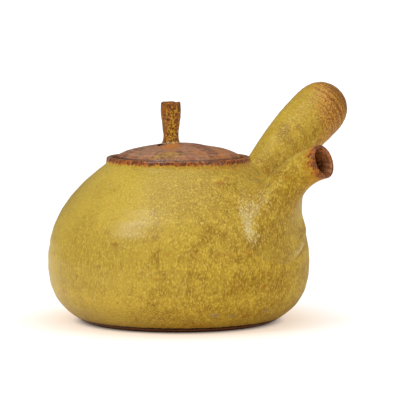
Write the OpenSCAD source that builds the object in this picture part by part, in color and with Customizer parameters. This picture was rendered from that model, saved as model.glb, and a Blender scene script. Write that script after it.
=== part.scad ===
// Side-handled teapot (yokode kyusu) in thrown and glazed stoneware.
// Origin: centre of the foot, on the table. +Z is up, +X is the way the spout points.

/* [Body] */
// Diameter at the belly, the widest ring of the body
body_d = 117.6; // [106:0.2:130]
// Height of the belly above the table
belly_z = 27; // [23:0.5:31]
// Diameter of the foot
foot_d = 84; // [74:0.5:94]
// Height of the shoulder, where the collar starts
shoulder_z = 70.3; // [65:0.1:76]
// How far the foot's curve runs outwards before it turns up
foot_run = 12; // [8:0.5:14]
// How far the foot's curve rises over that run
foot_rise = 6; // [4:0.5:8]
// Height below the belly over which the wall stays steep
belly_below = 14; // [8:0.5:18]
// Height above the belly over which the wall stays steep
belly_above = 17; // [12:0.5:22]
// How far the shoulder's curve runs outwards from the collar
shoulder_run = 17; // [13:0.5:21]
// How far the shoulder's curve falls over that run
shoulder_fall = 12.3; // [9:0.1:15]
// Thickness of the thrown wall
wall = 4; // [3:0.1:5]
// Height of the inside floor above the table
floor_z = 4.5; // [4:0.1:7]
// Width of the ring that the pot stands on
foot_ring = 5.5; // [4:0.5:9]
// Depth of the turned hollow inside that ring
foot_hollow = 1.2; // [0.6:0.1:2]

/* [Collar and ledge] */
// Height of the collar above the shoulder
collar_h = 3.2; // [2.8:0.1:6]
// How far the collar's base stands outside its lip
collar_flare = 0.8; // [0.2:0.1:2]
// Thickness of the collar's lip
lip_t = 2; // [1.4:0.1:3]
// Depth of the ledge below the top of the collar
ledge_drop = 2.5; // [1.5:0.1:4]
// Thickness of the ledge
ledge_t = 3.5; // [2.5:0.1:5]
// Gap between the lid's edge and the collar
collar_gap = 2.3; // [0.8:0.1:4]
// Width of the ledge that the lid overlaps
seat_w = 3.4; // [2.4:0.1:6]

/* [Lid] */
// Diameter of the lid
lid_d = 55.8; // [48:0.2:64]
// Height of the lid's edge above the ledge
lid_edge = 3.2; // [2.6:0.1:4.5]
// Height of the lid's crown above its edge
lid_crown = 5.9; // [4:0.1:9]
// Thickness of the lid at its crown
lid_t = 3.2; // [2.4:0.1:4.5]
// Rounding of the lid's upper edge
lid_round = 1.5; // [0.6:0.1:2]
// Diameter of the air hole
vent_d = 2.4; // [1.6:0.1:4]
// Gap between the air hole and the knob's foot
vent_gap = 0.4; // [0.2:0.1:4]
// Direction of the air hole from the knob
vent_az = 248; // [200:1:300]
// Depth of the flange below the ledge
flange_h = 8; // [5:0.5:14]
// Thickness of the flange
flange_t = 2.7; // [2:0.1:4]
// Gap between the flange and the throat, all round
throat_gap = 0.6; // [0.3:0.05:1.2]

/* [Knob] */
// Height of the knob above the lid's crown
knob_h = 18.4; // [14:0.1:24]
// Diameter of the knob at its widest, near the top
knob_d = 9.2; // [8:0.1:14]
// Diameter of the knob's waist
knob_waist_d = 6.8; // [5:0.1:7.6]
// Diameter of the knob's foot on the lid
knob_foot_d = 7.8; // [7:0.1:11]
// Height of the waist above the lid's crown
knob_waist_z = 4.5; // [3:0.1:6]
// Depth of the dish in the knob's top
knob_dish = 1.1; // [0.5:0.1:2]
// Depth of the widest ring below the knob's top
knob_wide_down = 5; // [3:0.1:7]
// How far the knob draws in from its widest ring to its top, in radius
knob_draw = 0.5; // [0.2:0.1:1.2]
// Width of the lip round the knob's dish
knob_lip = 1.2; // [0.8:0.1:1.8]
// Distance of the knob's axis from the lid's centre
knob_off = 3.4; // [0:0.1:4]
// Direction in which the knob stands off the centre
knob_az = 216; // [180:1:240]

/* [Spout] */
// Width of the spout's root, along the body's wall
spout_root_w = 39; // [34:0.5:44]
// Height of the root's lowest point above the belly
spout_root_up = 4.5; // [2:0.5:8]
// Depth of the root's highest point below the shoulder
spout_root_down = 7.3; // [5:0.1:11]
// Distance of the mouth's centre from the pot's axis
spout_reach = 77; // [73:0.5:86]
// Height of the mouth's centre above the top of the collar
mouth_rise = 1.1; // [-2:0.1:6]
// Outer diameter of the mouth
mouth_d = 14.2; // [12:0.1:17]
// Upward tilt of the mouth's face
mouth_tilt = 18; // [10:1:28]
// Upward slope of the spout as it comes to the mouth
spout_slope = 14; // [8:1:24]
// Thickness of the spout's wall at its mouth
mouth_wall = 2.1; // [1.6:0.1:2.8]
// Thickness of the spout's wall at the top of its root
root_wall = 4; // [3:0.1:5]
// Thickness of the spout's foot at the bottom of its root, along the body's wall
root_foot = 8; // [6:0.5:10]
// How far the edge of the spout's root stands proud of the body's wall
root_edge = 0.9; // [0.5:0.1:1.6]
// Length over which the spout keeps its direction at the sides of its root
root_run = 10.5; // [8:0.5:13]
// How much longer that is at the top, and shorter at the bottom
root_run_swing = 4; // [2:0.5:6]
// Length over which the spout keeps its direction before its mouth
mouth_run = 20.5; // [14:0.5:24]

/* [Strainer] */
// Diameter of the port in the body's wall
port_d = 17; // [14:0.5:18]
// How far the strainer bulges into the pot
strainer_bulge = 6.5; // [5:0.5:8]
// How far the strainer's edge is set back from the wall's outer face
strainer_set = 1.4; // [0.8:0.1:2]
// Thickness of the strainer
strainer_t = 1.8; // [1.2:0.1:2.4]
// Diameter of its holes
hole_d = 1.8; // [1.2:0.1:2]
// Distance between its rings of holes
hole_pitch = 3.2; // [2.6:0.1:4]
// Number of rings of holes round the middle one
hole_rings = 3; // [2:1:3]

/* [Handle] */
// Direction of the handle from the spout
handle_az = 81; // [70:1:100]
// Upward slope of the handle
handle_tilt = 33.1; // [24:0.1:42]
// Depth of the handle's root below the shoulder
handle_down = 11; // [8:0.5:18]
// Length of the handle from the wall to its tip
handle_len = 71.3; // [58:0.1:90]
// Diameter of the handle at its root
handle_root_d = 14.8; // [13:0.1:18]
// Diameter of the handle's grip at its widest
handle_grip_d = 26; // [21:0.1:30]
// Length over which the handle stays slim, from its root
handle_neck = 14; // [8:0.5:18]
// Length over which the grip stays wide, before its domed end
handle_swell = 32; // [24:0.5:36]
// Length of the domed end
handle_end = 15.3; // [12:0.1:20]
// Length over which the domed end keeps the grip's width
handle_end_side = 8; // [5:0.5:10]
// How much narrower than the grip the flat of the tip is, in radius
handle_end_round = 2.4; // [1:0.1:5]
// Thickness of the handle's wall
handle_wall = 3.5; // [2.6:0.1:4.5]
// Diameter of the pierced hole that lets the hollow handle breathe
breather_d = 2.4; // [1.6:0.1:3.2]
// Distance of that hole from the wall
breather_up = 12; // [9:0.5:16]

/* [Fits] */
// Gap that the slip fills between two luted pieces
slip_gap = 0.15; // [0.1:0.01:0.3]

/* [Hidden] */

ochre_glaze = "#b69435";
iron_glaze = "#96694a";
bare_clay = "#8a5a38";

$fn = 96;
hole_sides = 24;
curve_steps = 14;
arc_steps = 6;
spout_sides = 32;
spout_steps = 12;
root_steps = 3;
past = 1; // how far a cut runs past what it cuts

body_r = body_d / 2;
foot_r = foot_d / 2;
lid_r = lid_d / 2;
ledge_r = lid_r + collar_gap;
throat_r = lid_r - seat_w;
lip_r = ledge_r + lip_t;
collar_r = lip_r + collar_flare;
rim_z = shoulder_z + collar_h;
ledge_z = rim_z - ledge_drop;
flange_r = throat_r - throat_gap;

// The body's outer line is two Bezier curves that meet at the belly
foot_curve = [
    [foot_r, 0],
    [foot_r + foot_run, foot_rise],
    [body_r, belly_z - belly_below],
    [body_r, belly_z]
];
shoulder_curve = [
    [body_r, belly_z],
    [body_r, belly_z + belly_above],
    [collar_r + shoulder_run, shoulder_z - shoulder_fall],
    [collar_r, shoulder_z]
];

function mix(a, b, t) = a + (b - a) * t;
function unit(v) = v / norm(v);
function bezier(p, t) =
    let (s = 1 - t)
    s * s * s * p[0] + 3 * s * s * t * p[1] + 3 * s * t * t * p[2] + t * t * t * p[3];
function bezier_way(p, t) =
    let (s = 1 - t)
    unit(s * s * (p[1] - p[0]) + 2 * s * t * (p[2] - p[1]) + t * t * (p[3] - p[2]));

// A point of a curve moved out by off, square to the curve; the curve is drawn upwards
function beside(p, t, off) =
    let (way = bezier_way(p, t))
    bezier(p, t) + off * [way[1], -way[0]];

// The body's line runs from u = 0 at the foot, through 1 at the belly, to 2 at the collar
function body_point(u, off) =
    u < 1 ? beside(foot_curve, u, off) : beside(shoulder_curve, u - 1, off);
function body_u(z, off, low = 0, high = 2, halvings = 30) =
    let (middle = (low + high) / 2)
    halvings == 0 ? middle
    : body_point(middle, off)[1] < z ? body_u(z, off, middle, high, halvings - 1)
    : body_u(z, off, low, middle, halvings - 1);
function body_line(off, u0) =
    [for (i = [0 : 2 * curve_steps]) body_point(mix(u0, 2, i / (2 * curve_steps)), off)];

// Radius of the body's wall at a height, and how far its face looks upwards there
function wall_r(z, off) = body_point(body_u(z, off), off)[0];
function wall_tilt(z) =
    let (u = body_u(z, 0), out = body_point(u, 1) - body_point(u, 0))
    atan2(out[1], out[0]);

function reversed(list) = [for (i = [len(list) - 1 : -1 : 0]) list[i]];

// The lip is rounded over half a circle, from outside to inside
function lip_arc() =
    let (r = lip_t / 2, middle = [ledge_r + r, rim_z - r])
    [for (i = [0 : arc_steps]) let (a = 180 * i / arc_steps) middle + r * [cos(a), sin(a)]];

module body_section() {
    inner = body_line(-wall, body_u(floor_z, -wall));
    polygon(concat(
        [[0, foot_hollow], [foot_r - foot_ring, foot_hollow], [foot_r - foot_ring, 0]],
        body_line(0, 0),
        lip_arc(),
        [[ledge_r, ledge_z], [throat_r, ledge_z], [throat_r, ledge_z - ledge_t]],
        reversed(inner),
        [[0, floor_z]]
    ));
}

// The solid that the body's outer face encloses, grown by off
module body_bulk(off) {
    rotate_extrude()
        polygon(concat([[0, -off]], body_line(off, 0), [[lip_r + off, rim_z], [0, rim_z]]));
}

root_low = belly_z + spout_root_up;
root_high = shoulder_z - spout_root_down;
root_mid = (root_low + root_high) / 2;
port_r = port_d / 2;
port_z = (root_low + root_foot + root_high - root_wall) / 2;

// Puts its children on the wall in the middle of the spout's hollow, with their +Z square to the wall
module at_port() {
    translate([wall_r(port_z, 0), 0, port_z])
        rotate([0, 90 - wall_tilt(port_z), 0])
            children();
}

module pot_body() {
    color(ochre_glaze)
        difference() {
            rotate_extrude() body_section();
            at_port() cylinder(r = port_r, h = 4 * wall, center = true);
        }
}

// The spout is lofted from a root on the wall to its mouth, along a curve for each angle round it:
// 0 is the +Y side and 90 is the top
function root_point(angle, inset, off) =
    let (
        half_h = (root_high - root_low) / 2 - inset,
        half_w = spout_root_w / 2 - inset,
        z = root_mid + half_h * sin(angle),
        r = wall_r(z, off),
        az = half_w * cos(angle) / wall_r(root_mid, off) * 180 / PI
    )
    [r * cos(az), r * sin(az), z];

// Direction in the wall that leads from the root's edge towards its middle
function root_inwards(angle) =
    let (nudge = 0.5)
    unit(root_point(angle, nudge, slip_gap) - root_point(angle, 0, slip_gap));

mouth_centre = [spout_reach, 0, rim_z + mouth_rise];
mouth_up = [-sin(mouth_tilt), 0, cos(mouth_tilt)];
spout_way = [cos(spout_slope), 0, sin(spout_slope)];
port_way = [cos(wall_tilt(root_mid)), 0, sin(wall_tilt(root_mid))];

function mouth_point(angle, r) =
    mouth_centre + r * (cos(angle) * [0, 1, 0] + sin(angle) * mouth_up);

// How far the spout leans away from the wall: the underside leaves almost along it, the top at once
lean_side = 0.52;
lean_swing = 0.37;

function spout_curve(angle, start, r) =
    let (
        end = mouth_point(angle, r),
        lean = lean_side + lean_swing * sin(angle),
        way = unit(mix(root_inwards(angle), port_way, lean)),
        run = root_run + root_run_swing * sin(angle)
    )
    [start, start + run * way, end - mouth_run * spout_way, end];

// Width of the spout's wall where it stands on the body: widest at the bottom
function root_inset(angle) = mix(root_wall, root_foot, pow((1 - sin(angle)) / 2, 2));

spout_angles = [for (j = [0 : spout_sides - 1]) 360 * j / spout_sides];
function root_ring(part) = [for (a = spout_angles) root_point(a, part * root_inset(a), slip_gap)];
function outer_ring(t) = [
    for (a = spout_angles)
        bezier(spout_curve(a, root_point(a, 0, slip_gap + root_edge), mouth_d / 2), t)
];
function inner_ring(t) = [
    for (a = spout_angles)
        bezier(spout_curve(a, root_point(a, root_inset(a), slip_gap), mouth_d / 2 - mouth_wall), t)
];

// The rings run out over the spout, in through its mouth to the root, and back along the wall
spout_rings = concat(
    [for (i = [0 : spout_steps]) outer_ring(i / spout_steps)],
    [for (i = [spout_steps : -1 : 0]) inner_ring(i / spout_steps)],
    [for (i = [root_steps - 1 : -1 : 0]) root_ring(i / root_steps)]
);

module spout() {
    rings = len(spout_rings);
    faces = [
        for (i = [0 : rings - 1])
            for (j = [0 : spout_sides - 1])
                let (
                    here = i * spout_sides,
                    next = (i + 1) % rings * spout_sides,
                    k = (j + 1) % spout_sides
                )
                each [[here + j, next + j, next + k], [here + j, next + k, here + k]]
    ];
    color(ochre_glaze) polyhedron([for (ring = spout_rings) each ring], faces);
}

// The strainer is a dome whose edge is turned to fit the port
strainer_r = port_r - slip_gap;
strainer_back = wall + slip_gap;
dome_r = (strainer_r * strainer_r + strainer_bulge * strainer_bulge) / (2 * strainer_bulge);
dome_z = dome_r - strainer_bulge - strainer_back;

// Each ring of holes has six more than the ring inside it
module strainer_holes() {
    for (ring = [0 : hole_rings]) {
        holes = max(1, 6 * ring);
        for (i = [0 : holes - 1])
            rotate([0, 0, 360 * i / holes])
                rotate([0, 180 - ring * hole_pitch / dome_r * 180 / PI, 0])
                    translate([0, 0, dome_r - strainer_t - past])
                        cylinder(d = hole_d, h = strainer_t + 2 * past, $fn = hole_sides);
    }
}

module spout_strainer() {
    color(bare_clay)
        at_port()
            difference() {
                intersection() {
                    translate([0, 0, dome_z]) sphere(dome_r);
                    translate([0, 0, -strainer_back - strainer_bulge - past])
                        cylinder(r = strainer_r, h = strainer_back + strainer_bulge + past - strainer_set);
                }
                translate([0, 0, dome_z]) sphere(dome_r - strainer_t);
                translate([0, 0, dome_z]) strainer_holes();
            }
}

// The handle's outline, as [distance along it, radius]
handle_root_r = handle_root_d / 2;
grip_r = handle_grip_d / 2;
grip_z = handle_len - handle_end;
handle_side = [
    [0, handle_root_r],
    [handle_neck, handle_root_r],
    [grip_z - handle_swell, grip_r],
    [grip_z, grip_r]
];
handle_dome = [
    [grip_z, grip_r],
    [grip_z + handle_end_side, grip_r],
    [handle_len, grip_r - handle_end_round],
    [handle_len, 0]
];
handle_sunk = handle_root_r + past; // how far the root runs on inside the wall before it is trimmed

// Points of the handle's section, as [radius, distance along it]
function handle_line(off) = [
    for (curve = [handle_side, handle_dome])
        for (i = [(curve == handle_side ? 0 : 1) : curve_steps])
            let (p = bezier(curve, i / curve_steps), way = bezier_way(curve, i / curve_steps))
            [p[1] - off * way[0], p[0] + off * way[1]]
];

handle_z = shoulder_z - handle_down;

// Puts its children on the wall at the handle's root, with their +Z along the handle
module at_handle() {
    rotate([0, 0, handle_az])
        translate([wall_r(handle_z, 0), 0, handle_z])
            rotate([0, 90 - handle_tilt, 0])
                children();
}

module handle() {
    outer = handle_line(0);
    inner = handle_line(handle_wall);
    color(ochre_glaze)
        difference() {
            at_handle()
                difference() {
                    rotate_extrude()
                        polygon(concat(
                            [[handle_root_r - handle_wall, -handle_sunk], [handle_root_r, -handle_sunk]],
                            outer,
                            reversed(inner)
                        ));
                    translate([0, 0, breather_up])
                        rotate([0, 90, 0])
                            cylinder(d = breather_d, h = handle_grip_d, $fn = hole_sides);
                }
            body_bulk(slip_gap);
        }
}

// The lid's dome and its hollow are parts of two balls about one centre; the flange stands in the hollow
lid_ball = (lid_r * lid_r + lid_crown * lid_crown) / (2 * lid_crown);
crown_z = ledge_z + lid_edge + lid_crown;
ball_z = crown_z - lid_ball;
knob_place = knob_off * [cos(knob_az), sin(knob_az), 0];
vent_place = knob_place + (knob_foot_d / 2 + vent_gap + vent_d / 2) * [cos(vent_az), sin(vent_az), 0];

// The lid's upper edge is an arc that touches both its side and its dome
function lid_arc() =
    let (
        x = lid_r - lid_round,
        z = sqrt(pow(lid_ball - lid_round, 2) - x * x),
        last = atan2(z, x)
    )
    [
        for (i = [0 : arc_steps])
            let (a = last * i / arc_steps)
            [x, z + ball_z - ledge_z] + lid_round * [cos(a), sin(a)]
    ];

module lid() {
    blank_h = lid_edge + lid_crown + past;
    arc = lid_arc();
    color(iron_glaze)
        difference() {
            intersection() {
                translate([0, 0, ball_z]) sphere(lid_ball);
                translate([0, 0, ledge_z])
                    rotate_extrude()
                        polygon(concat(
                            [[0, 0], [lid_r, 0]],
                            arc,
                            [[arc[len(arc) - 1][0], blank_h], [0, blank_h]]
                        ));
            }
            intersection() {
                translate([0, 0, ball_z]) sphere(lid_ball - lid_t);
                translate([0, 0, ledge_z - past]) cylinder(r = flange_r + slip_gap, h = blank_h);
            }
            translate(vent_place + [0, 0, ledge_z]) cylinder(d = vent_d, h = blank_h);
        }
}

module lid_flange() {
    blank_h = flange_h + lid_crown;
    color(bare_clay)
        intersection() {
            translate([0, 0, ledge_z - flange_h])
                difference() {
                    cylinder(r = flange_r, h = blank_h);
                    translate([0, 0, -past])
                        cylinder(r = flange_r - flange_t, h = blank_h + 2 * past);
                }
            translate([0, 0, ball_z]) sphere(lid_ball - lid_t - slip_gap);
        }
}

// The knob's outline above the lid's crown, as [radius, height]
knob_r = knob_d / 2;
waist_r = knob_waist_d / 2;
knob_top_r = knob_r - knob_draw;
knob_wide_z = knob_h - knob_wide_down;
knob_bend = (knob_wide_z - knob_waist_z) / 2;
knob_flare = [[knob_foot_d / 2, 0], [waist_r, 0], [waist_r, knob_waist_z / 2], [waist_r, knob_waist_z]];
knob_stem = [
    [waist_r, knob_waist_z],
    [waist_r, knob_waist_z + knob_bend],
    [knob_r, knob_wide_z - knob_bend],
    [knob_r, knob_wide_z]
];
knob_sunk = lid_t / 2; // how far the foot runs on inside the dome before it is trimmed

module lid_knob() {
    flare = [for (i = [0 : curve_steps / 2]) bezier(knob_flare, 2 * i / curve_steps)];
    stem = [for (i = [1 : curve_steps]) bezier(knob_stem, i / curve_steps)];
    color(iron_glaze)
        difference() {
            translate(knob_place + [0, 0, crown_z])
                rotate_extrude()
                    polygon(concat(
                        [[0, -knob_sunk], [knob_foot_d / 2, -knob_sunk]],
                        flare,
                        stem,
                        [[knob_top_r, knob_h - knob_lip / 2], [knob_top_r - knob_lip / 2, knob_h]],
                        [[knob_top_r - knob_lip, knob_h - knob_dish / 2], [0, knob_h - knob_dish]]
                    ));
            translate([0, 0, ball_z]) sphere(lid_ball + slip_gap);
        }
}

pot_body();
spout();
spout_strainer();
handle();
lid();
lid_flange();
lid_knob();
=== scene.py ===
"""Looks of a side-handled teapot in thrown, glazed stoneware, built round the CAD frame.

The classes hold their sizes in millimetres, in the frame of the CAD part: the foot's centre is the
origin, +Z is up and +X is the way the spout points. Meshes are made in metres.
"""
import logging
import math
from collections.abc import Callable, Sequence
from dataclasses import dataclass, field
from enum import Enum
from functools import cached_property, lru_cache

import bmesh
import bpy
from mathutils import Matrix, Vector, noise
from mathutils.geometry import interpolate_bezier


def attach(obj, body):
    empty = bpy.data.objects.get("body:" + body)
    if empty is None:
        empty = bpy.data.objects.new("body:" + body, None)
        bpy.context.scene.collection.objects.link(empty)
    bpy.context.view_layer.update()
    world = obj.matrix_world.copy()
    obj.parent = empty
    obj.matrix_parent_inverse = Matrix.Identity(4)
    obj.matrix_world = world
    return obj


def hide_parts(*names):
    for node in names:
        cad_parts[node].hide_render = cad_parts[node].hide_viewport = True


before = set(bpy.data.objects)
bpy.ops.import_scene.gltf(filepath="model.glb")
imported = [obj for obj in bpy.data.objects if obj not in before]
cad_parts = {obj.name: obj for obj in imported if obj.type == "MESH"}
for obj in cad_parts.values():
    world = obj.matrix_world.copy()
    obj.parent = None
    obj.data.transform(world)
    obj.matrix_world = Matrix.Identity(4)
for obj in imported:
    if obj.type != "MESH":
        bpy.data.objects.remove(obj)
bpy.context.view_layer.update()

LOG = logging.getLogger("teapot")
MM = 0.001
TURN = 2 * math.pi
UP = Vector((0, 0, 1))
# The way to the right of the photo and the way to its camera, level with the table
RIGHT = Vector((0.809, 0.588, 0))
NEAR = Vector((0.588, -0.809, 0))

Line = list[Vector]
Paint = Callable[[Vector], float]
Socket = bpy.types.NodeSocket


class Body(Enum):
    """CAD bodies that the pieces ride on."""

    POT = "pot"
    LID = "lid"


class Slot(Enum):
    """Names of material slots that each piece carries."""

    OCHRE = "ochre_glaze"
    IRON = "iron_glaze"
    CLAY = "bare_clay"


class Mask(Enum):
    """Painted weights that a mesh hands to its glaze."""

    IRON = "iron"
    # Pooled glaze, and painted highlights by the spout's root
    POOL_AND_GLINT = "pool"
    # Bare clay, and painted shade at the foot, deep in the spout and on the lid's edge
    BARE_AND_SHADE = "bare"
    COARSE = "coarse"
    ASH = "ash"
    RUST = "rust"
    # Brown of the fire, and the painted shadow line under the collar
    TOAST_AND_SHADE = "toast"
    TURN = "turn"
    VEIL = "veil"
    SMOKE = "smoke"
    # Thick glaze inside the spout's lip, lightened as a painted highlight
    GLAZE_AND_GLINT = "glass"


def clamp(value: float, low: float = 0.0, high: float = 1.0) -> float:
    """Keeps a number inside a range."""
    return max(low, min(high, value))


def mix(a: float, b: float, t: float) -> float:
    """Goes from one number, at t = 0, to another, at t = 1."""
    return a + (b - a) * t


def bell(distance: float, width: float) -> float:
    """Falls softly from 1, at a distance of 0, to almost 0 at twice a width."""
    return math.exp(-((distance / width) ** 2))


def tent(value: float, middle: float, reach: float, top: float = 1.0) -> float:
    """Falls straight on both sides of a middle; a top above 1 keeps it full for a while."""
    return clamp(top - abs(value - middle) / reach)


def at(x: float, y: float, z: float) -> Vector:
    """Makes a dataclass field that holds a place."""
    return field(default_factory=lambda: Vector((x, y, z)))


def rising(angle: float) -> Vector:
    """Finds the way that leads to the spout's side and rises by an angle."""
    return Vector((math.cos(angle), 0, math.sin(angle)))


def halve(low: float, high: float, is_short: Callable[[float], bool], times: int) -> float:
    """Closes in on a number by halving the range that it lies in.

    Args:
        low: Start of the range.
        high: End of the range.
        is_short: Tells whether a number falls short of the one that is sought.
        times: How often to halve the range.

    Returns:
        The number.
    """
    for _ in range(times):
        middle = (low + high) / 2
        if is_short(middle):
            low = middle
        else:
            high = middle
    return low


def linear(hex_colour: str) -> tuple[float, float, float, float]:
    """Turns an sRGB colour into the linear colour that shaders work in.

    Args:
        hex_colour: Colour as "#rrggbb".

    Returns:
        Linear red, green, blue and an alpha of 1.
    """
    parts = [int(hex_colour[i : i + 2], 16) / 255 for i in (1, 3, 5)]
    lit = [p / 12.92 if p <= 0.04045 else ((p + 0.055) / 1.055) ** 2.4 for p in parts]
    return (lit[0], lit[1], lit[2], 1.0)


def curve(points: Sequence[Sequence[float]], count: int) -> Line:
    """Draws a cubic Bezier curve from its start, its two handles and its end."""
    return interpolate_bezier(*map(Vector, points), count)


def bend(start: Vector, corner: Vector, end: Vector, count: int, pull: float = 0.6) -> Line:
    """Draws a curve from one point to another that leans into the corner between them."""
    return curve((start, start.lerp(corner, pull), end.lerp(corner, pull), end), count)


def rounded(corners: Sequence[tuple[float, float, float]], count: int = 6) -> Line:
    """Draws a section whose corners are rounded.

    Args:
        corners: Radius, height and length of rounding of each corner; 0 keeps it sharp.
        count: Number of points for each rounding.

    Returns:
        The section as (radius, height, 0) points.
    """
    points = [Vector((r, z, 0)) for r, z, _ in corners]
    line: Line = []
    for i, (here, corner) in enumerate(zip(points, corners)):
        cut = corner[2]
        if cut == 0:
            line.append(here)
            continue
        start = here + (points[i - 1] - here).normalized() * cut
        end = here + (points[i + 1] - here).normalized() * cut
        line += bend(start, here, end, count, pull=0.55)
    return line


def lathe(line: Sequence[Vector], steps: int) -> bmesh.types.BMesh:
    """Turns a section about the Z axis.

    Args:
        line: Section as (radius, height, 0) points in millimetres.
        steps: Number of steps round the axis.

    Returns:
        The turned mesh in millimetres.
    """
    bm = bmesh.new()
    verts = [bm.verts.new((p.x, 0, p.y)) for p in line]
    edges = [bm.edges.new(pair) for pair in zip(verts, verts[1:])]
    bmesh.ops.spin(
        bm, geom=verts + edges, cent=(0, 0, 0), axis=UP, dvec=(0, 0, 0),
        angle=TURN, steps=steps, use_merge=True,
    )
    bmesh.ops.remove_doubles(bm, verts=bm.verts, dist=1e-4)
    bmesh.ops.recalc_face_normals(bm, faces=bm.faces)
    return bm


def loft(strips: Sequence[Line]) -> bmesh.types.BMesh:
    """Extrudes a ring through the points of strips that stand side by side round it.

    Args:
        strips: One line of points for each side of the ring, all of one length.

    Returns:
        The lofted tube in millimetres.
    """
    bm = bmesh.new()
    side = bm.verts.layers.int.new("side")
    ring = bmesh.ops.create_circle(bm, cap_ends=False, radius=1, segments=len(strips))["verts"]
    for i, vert in enumerate(ring):
        vert[side] = i
        vert.co = strips[i][0]
    edges = list(bm.edges)
    for step in range(1, len(strips[0])):
        made = bmesh.ops.extrude_edge_only(bm, edges=edges)["geom"]
        edges = [e for e in made if isinstance(e, bmesh.types.BMEdge) and e.is_boundary]
        for vert in (v for v in made if isinstance(v, bmesh.types.BMVert)):
            vert.co = strips[vert[side]][step]
    bm.verts.layers.int.remove(side)
    bmesh.ops.recalc_face_normals(bm, faces=bm.faces)
    return bm


def press(bm: bmesh.types.BMesh, depth: Paint) -> None:
    """Moves each point of a mesh along its normal, as fingers press wet clay.

    Args:
        bm: Mesh in millimetres.
        depth: Distance to move a point outwards, from where it is.
    """
    bm.normal_update()
    moves = [(v, v.normal * depth(v.co)) for v in bm.verts]
    for vert, move in moves:
        vert.co += move


def add_object(name: str, data: bpy.types.ID) -> bpy.types.Object:
    """Puts an object in the scene.

    Args:
        name: Its name.
        data: Its mesh, light or camera.

    Returns:
        The object.
    """
    obj = bpy.data.objects.new(name, data)
    bpy.context.collection.objects.link(obj)
    return obj


def make_object(name: str, bm: bmesh.types.BMesh) -> bpy.types.Object:
    """Turns a mesh into an object of the scene.

    Args:
        name: Its name.
        bm: Its mesh in millimetres, which is freed.

    Returns:
        The object, in metres.
    """
    bmesh.ops.scale(bm, vec=(MM, MM, MM), verts=bm.verts)
    mesh = bpy.data.meshes.new(name)
    bm.to_mesh(mesh)
    bm.free()
    return add_object(name, mesh)


@dataclass(frozen=True)
class Throwing:
    """Marks that a potter's fingers leave on the wheel: a shallow spiral and a slight wobble."""

    ridge: float = 0.07
    pitch: float = 6.5
    wobble: float = 0.16
    size: float = 28.0
    grain: float = 0.03
    grain_size: float = 3.5

    def depth(self, p: Vector) -> float:
        """Gives the height of the marks.

        Args:
            p: Place on the surface, with the wheel's axis along Z.

        Returns:
            Height of the surface there above its true shape.
        """
        turn = math.atan2(p.y, p.x) / TURN
        strength = 0.6 + 0.4 * noise.noise(p / self.size)
        ridge = self.ridge * strength * math.sin(TURN * (p.z / self.pitch + turn))
        wobble = self.wobble * noise.noise(p / self.size + Vector((7, 3, 1)))
        return ridge + wobble + self.grain * noise.noise(p / self.grain_size)


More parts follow.
